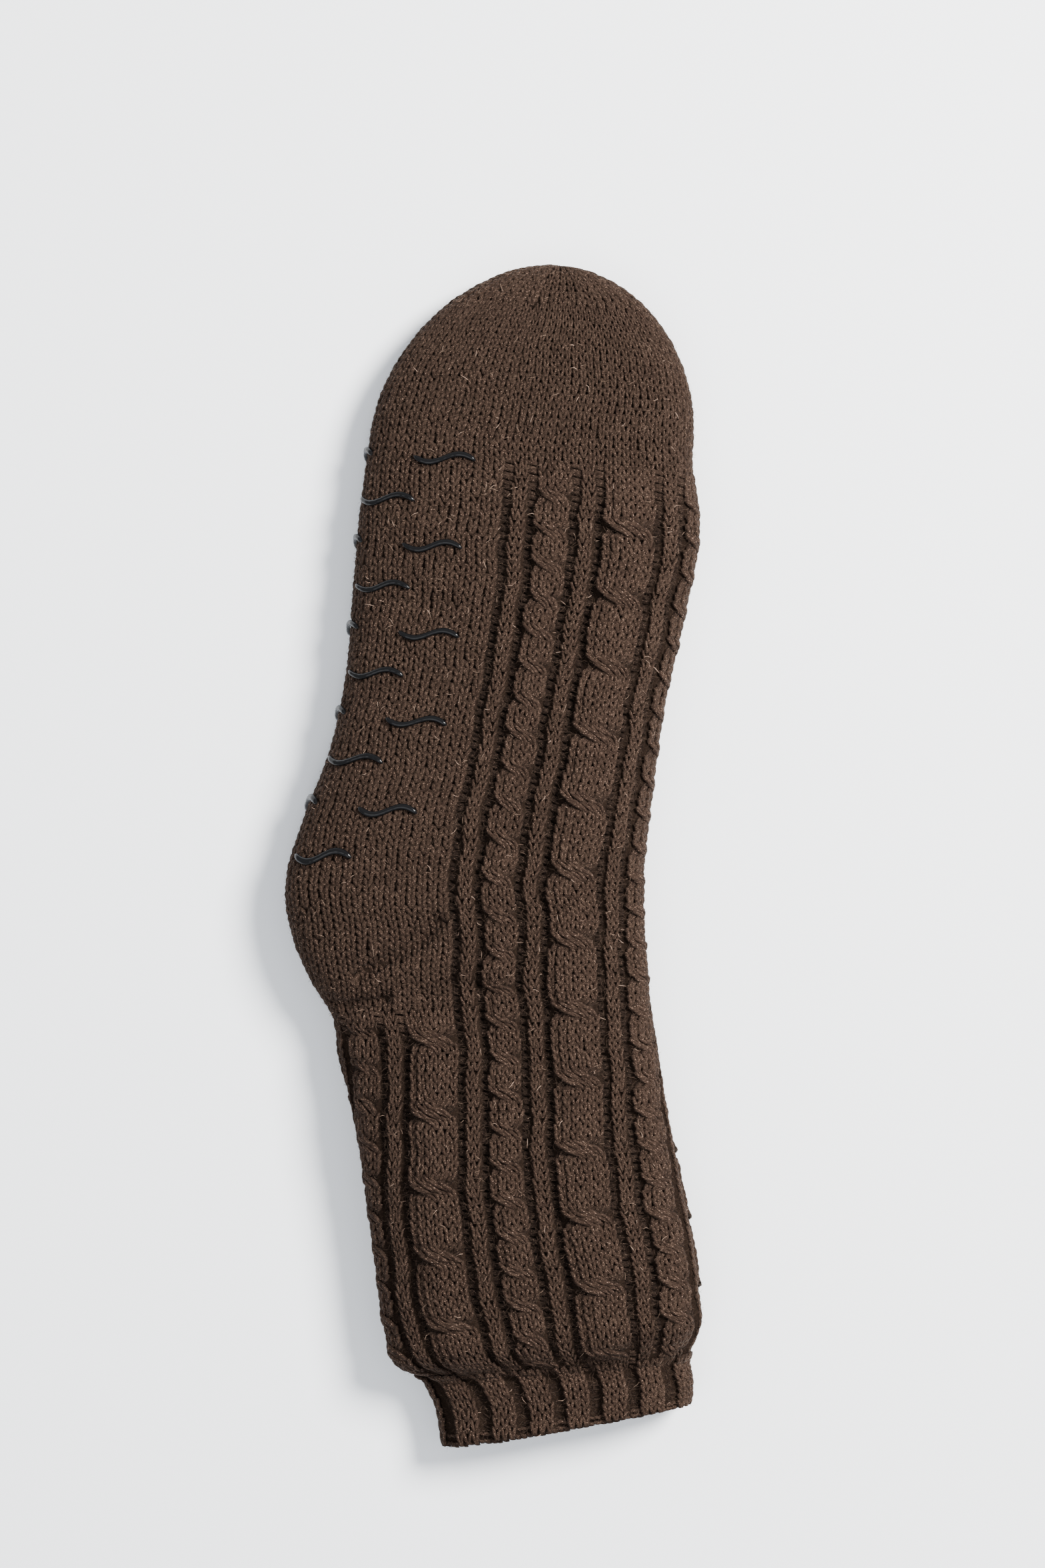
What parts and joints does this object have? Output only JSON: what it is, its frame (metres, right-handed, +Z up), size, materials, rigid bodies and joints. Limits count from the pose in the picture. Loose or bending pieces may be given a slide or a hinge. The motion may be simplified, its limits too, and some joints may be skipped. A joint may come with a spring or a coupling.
{
  "type": "slipper sock",
  "caption": "Calf-high cable-knit slipper sock in brown melange yarn, lying slack on its side, hollow and open at a ribbed cuff, with raised anti-slip waves on the sole.",
  "frame": {"origin": "bottom centre of the bounding box, on the floor that the sock lies on", "axes": "+Y towards the toe, +X towards the instep side, +Z up from the floor through the flat of the sock"},
  "size_m": [0.1484, 0.4248, 0.034],
  "materials": {
    "yarn": "chunky brown melange knit, matt and fuzzy",
    "grip": "glossy black raised silicone print"
  },
  "bodies": {
    "root": {"knitted_sock": "yarn", "grip_wave_1_1": "grip", "grip_wave_1_2": "grip", "grip_wave_1_3": "grip", "grip_wave_1_4": "grip", "grip_wave_2_1": "grip", "grip_wave_2_2": "grip", "grip_wave_2_3": "grip", "grip_wave_2_4": "grip", "grip_wave_3_1": "grip", "grip_wave_3_2": "grip", "grip_wave_3_3": "grip", "grip_wave_3_4": "grip", "grip_wave_4_1": "grip", "grip_wave_4_2": "grip", "grip_wave_4_3": "grip", "grip_wave_4_4": "grip", "grip_wave_5_1": "grip", "grip_wave_5_2": "grip", "grip_wave_5_3": "grip", "grip_wave_5_4": "grip", "grip_wave_6_1": "grip", "grip_wave_6_2": "grip", "grip_wave_6_3": "grip", "grip_wave_6_4": "grip", "grip_wave_7_1": "grip", "grip_wave_7_2": "grip", "grip_wave_7_3": "grip", "grip_wave_7_4": "grip", "grip_wave_8_1": "grip", "grip_wave_8_2": "grip", "grip_wave_8_3": "grip", "grip_wave_8_4": "grip", "grip_wave_9_1": "grip", "grip_wave_9_2": "grip", "grip_wave_9_3": "grip", "grip_wave_9_4": "grip", "grip_wave_10_1": "grip", "grip_wave_10_2": "grip", "grip_wave_10_3": "grip", "grip_wave_10_4": "grip"}
  },
  "joints": []
}
